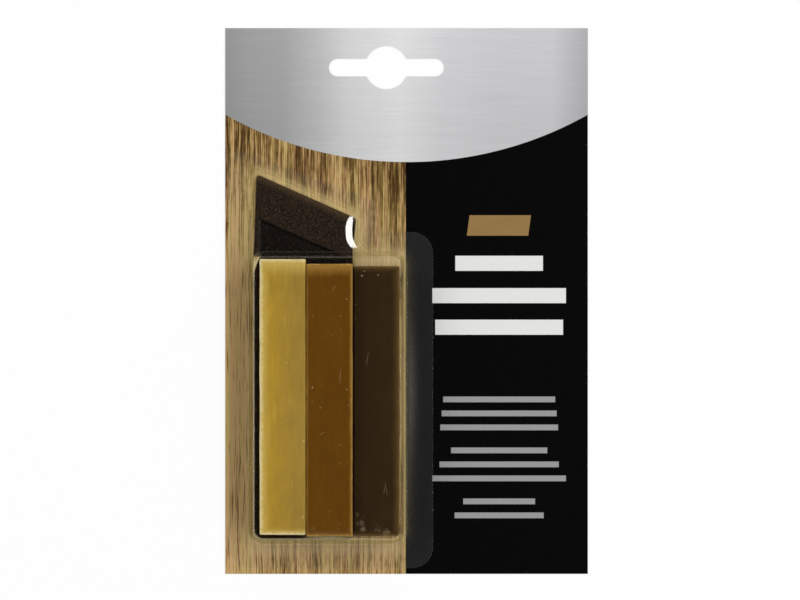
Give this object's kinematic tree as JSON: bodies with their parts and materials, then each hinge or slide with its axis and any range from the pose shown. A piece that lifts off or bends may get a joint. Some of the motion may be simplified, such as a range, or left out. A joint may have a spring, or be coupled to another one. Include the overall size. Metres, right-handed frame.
{
  "type": "furniture repair wax stick set",
  "caption": "Hanging card with wax repair sticks in light, medium and dark wood tones and a flat bladed applicator under a clear blister of two depths.",
  "frame": {"origin": "middle of the card's back face, with the pack lying flat on its back", "axes": "+X across the card, to the right as the printed face is read; +Y up the card to the hang hole; +Z out of the printed face"},
  "size_m": [0.101, 0.152, 0.0148],
  "materials": {
    "board": "satin",
    "black_plastic": "matte",
    "light_wax": "satin",
    "medium_wax": "satin",
    "dark_wax": "satin",
    "clear_film": "gloss"
  },
  "bodies": {
    "card": {"backing_card": "board"},
    "blister": {"blister": "clear_film"},
    "light_stick": {"wax_stick_light": "light_wax"},
    "medium_stick": {"wax_stick_medium": "medium_wax"},
    "dark_stick": {"wax_stick_dark": "dark_wax"},
    "applicator": {"applicator": "black_plastic"}
  },
  "joints": [
    {"name": "blister_lift", "type": "slide", "parent": "card", "child": "blister", "axis": [0, 0, 1], "range_m": [0, 0.09]},
    {"name": "light_stick_lift", "type": "slide", "parent": "card", "child": "light_stick", "axis": [0, 0, 1], "range_m": [0, 0.054]},
    {"name": "medium_stick_lift", "type": "slide", "parent": "card", "child": "medium_stick", "axis": [0, 0, 1], "range_m": [0, 0.045]},
    {"name": "dark_stick_lift", "type": "slide", "parent": "card", "child": "dark_stick", "axis": [0, 0, 1], "range_m": [0, 0.036]},
    {"name": "applicator_lift", "type": "slide", "parent": "card", "child": "applicator", "axis": [0, 0, 1], "range_m": [0, 0.018]}
  ],
  "couplings": [
    {"joint": "light_stick_lift", "follows": "blister_lift", "ratio": 0.6},
    {"joint": "medium_stick_lift", "follows": "blister_lift", "ratio": 0.5},
    {"joint": "dark_stick_lift", "follows": "blister_lift", "ratio": 0.4},
    {"joint": "applicator_lift", "follows": "blister_lift", "ratio": 0.2}
  ]
}
